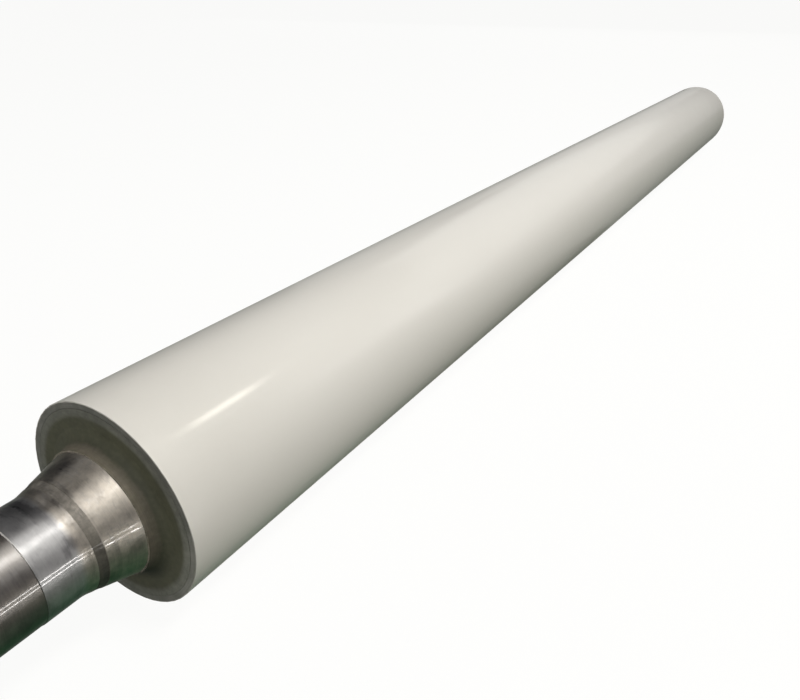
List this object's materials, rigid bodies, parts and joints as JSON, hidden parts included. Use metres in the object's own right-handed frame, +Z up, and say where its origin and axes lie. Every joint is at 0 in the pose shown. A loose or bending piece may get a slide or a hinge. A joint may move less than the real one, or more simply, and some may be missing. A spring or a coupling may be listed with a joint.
{
  "type": "stretching roller",
  "caption": "Long machine roll: smooth white covered face on a steel tube, with turned steel heads whose tapered journals carry a ground bearing seat at each end.",
  "frame": {"origin": "on the roll's axis, at the middle of the face", "axes": "+X along the roll's axis from the near end to the far end, +Z up"},
  "size_m": [3.57, 0.2538, 0.2538],
  "materials": {
    "white_cover": "smooth off-white polymer layer, satin gloss",
    "tube_steel": "faced steel with fine turned rings, dull grey",
    "journal_steel": "turned and ground steel journal, raw olive-brown end face"
  },
  "bodies": {
    "root": {"roll_cover": "white_cover", "shell_tube": "tube_steel", "near_journal_head": "journal_steel", "far_journal_head": "journal_steel"}
  },
  "joints": []
}
